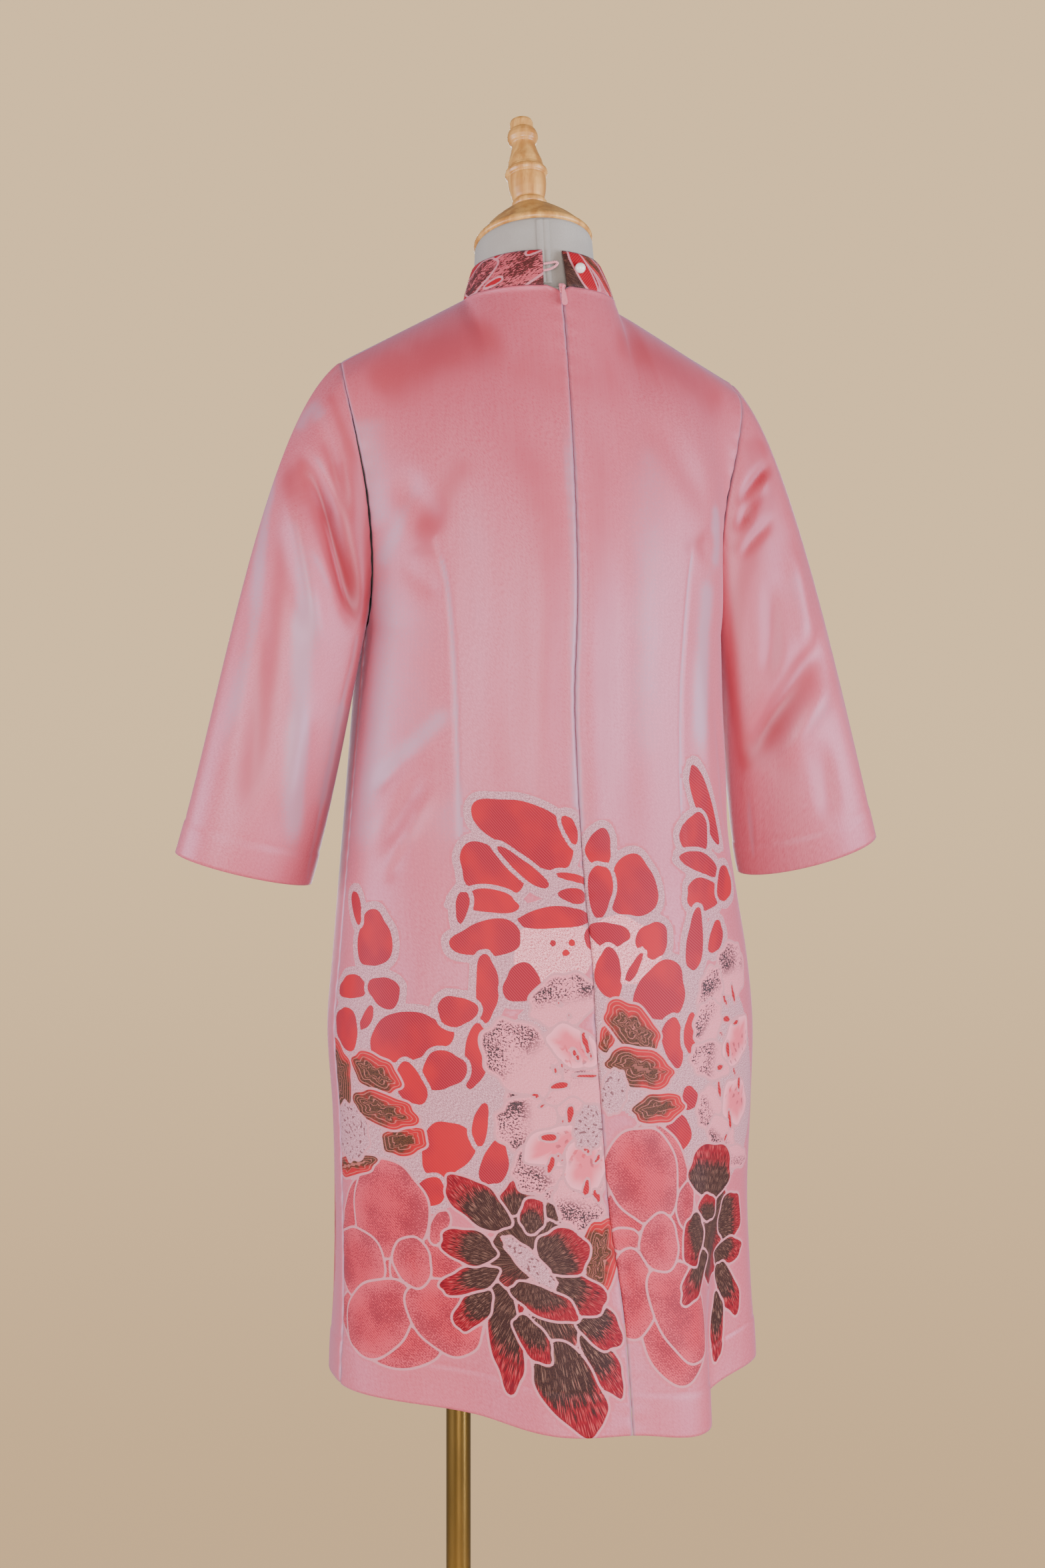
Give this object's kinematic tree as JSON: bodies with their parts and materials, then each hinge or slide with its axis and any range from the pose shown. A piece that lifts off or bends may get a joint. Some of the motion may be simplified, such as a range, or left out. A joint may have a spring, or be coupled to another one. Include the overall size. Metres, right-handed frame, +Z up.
{
  "type": "shift dress on a limbless dress form",
  "caption": "Knee-length satin shift dress with a stand-up collar and flared sleeves, on a limbless dress form with a brass pole and a round foot.",
  "frame": {"origin": "centre of the round foot's underside, on the floor and on the pole's axis", "axes": "+Z up, the dress's front faces -Y, the wearer's left is +X"},
  "size_m": [0.634, 0.38, 1.639],
  "materials": {
    "satin": "soft satin gloss",
    "brocade": "woven flowers on satin",
    "zip": "gloss enamel",
    "pearl": "pearl gloss",
    "form_cloth": "plain weave",
    "wood": "clear satin varnish",
    "brass": "polished"
  },
  "bodies": {
    "dress_on_form": {"front": "satin", "back_left": "satin", "back_right": "satin", "sleeve_left": "satin", "sleeve_right": "satin", "collar": "brocade", "zip_tape": "satin", "zip_slider": "zip", "button": "pearl", "button_loop": "satin", "form_body": "form_cloth", "neck_cap": "wood", "finial": "wood", "pole": "brass", "pole_flange": "brass", "base": "brass"},
    "pull_tab": {"zip_pull": "zip"}
  },
  "joints": [
    {"name": "pull_tab_hinge", "type": "hinge", "parent": "dress_on_form", "child": "pull_tab", "pos_m": [-0.073, 0.06263, 1.46907], "axis": [1, 0, 0], "range_deg": [0, 120]}
  ]
}
